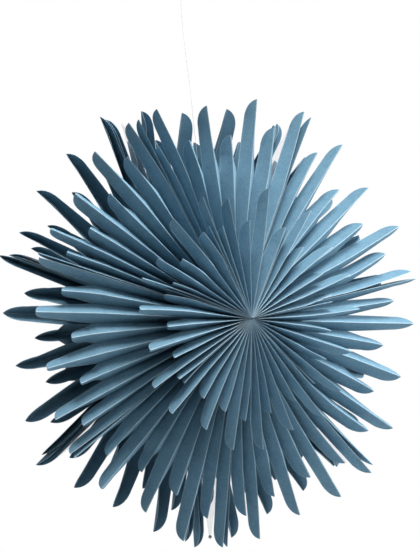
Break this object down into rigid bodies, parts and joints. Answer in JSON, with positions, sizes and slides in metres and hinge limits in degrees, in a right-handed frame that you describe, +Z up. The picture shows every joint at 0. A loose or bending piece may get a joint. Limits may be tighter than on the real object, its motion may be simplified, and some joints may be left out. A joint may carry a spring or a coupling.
{
  "type": "hanging paper star",
  "caption": "Hanging decorative star of folded paper, with long and short slit petals in two layers on both faces, clear joint leaves, a closing stud and a thread with a loop.",
  "frame": {"origin": "centre of the star, on its axis and in the plane between its front and back halves", "axes": "+Z up as it hangs, -Y towards the front face, +X to the viewer's right"},
  "size_m": [0.6118, 0.2376, 0.7802],
  "materials": {
    "blue_paper": "matte uncoated, dusty blue",
    "clear_leaf": "clear film, slightly milky",
    "stud_metal": "dull metal",
    "spine_card": "plain card",
    "thread": "clear fine thread"
  },
  "bodies": {
    "root": {"outer_front_pleats_1": "blue_paper", "outer_front_pleats_2": "blue_paper", "outer_front_pleats_3": "blue_paper", "outer_front_pleats_4": "blue_paper", "outer_front_pleats_5": "blue_paper", "outer_front_pleats_6": "blue_paper", "outer_front_pleats_7": "blue_paper", "outer_back_pleats_1": "blue_paper", "outer_back_pleats_2": "blue_paper", "outer_back_pleats_3": "blue_paper", "outer_back_pleats_4": "blue_paper", "outer_back_pleats_5": "blue_paper", "outer_back_pleats_6": "blue_paper", "outer_back_pleats_7": "blue_paper", "inner_front_pleats_1": "blue_paper", "inner_front_pleats_2": "blue_paper", "inner_front_pleats_3": "blue_paper", "inner_front_pleats_4": "blue_paper", "inner_front_pleats_5": "blue_paper", "inner_front_pleats_6": "blue_paper", "inner_front_pleats_7": "blue_paper", "inner_back_pleats_1": "blue_paper", "inner_back_pleats_2": "blue_paper", "inner_back_pleats_3": "blue_paper", "inner_back_pleats_4": "blue_paper", "inner_back_pleats_5": "blue_paper", "inner_back_pleats_6": "blue_paper", "inner_back_pleats_7": "blue_paper", "joint_leaf_1": "clear_leaf", "joint_leaf_2": "clear_leaf", "joint_leaf_3": "clear_leaf", "joint_leaf_4": "clear_leaf", "joint_leaf_5": "clear_leaf", "joint_leaf_6": "clear_leaf", "joint_leaf_7": "clear_leaf", "stud_cap": "stud_metal", "stud_socket": "stud_metal", "spine": "spine_card", "thread_hitch": "thread", "hanging_thread": "thread", "hanging_loop": "thread"}
  },
  "joints": []
}
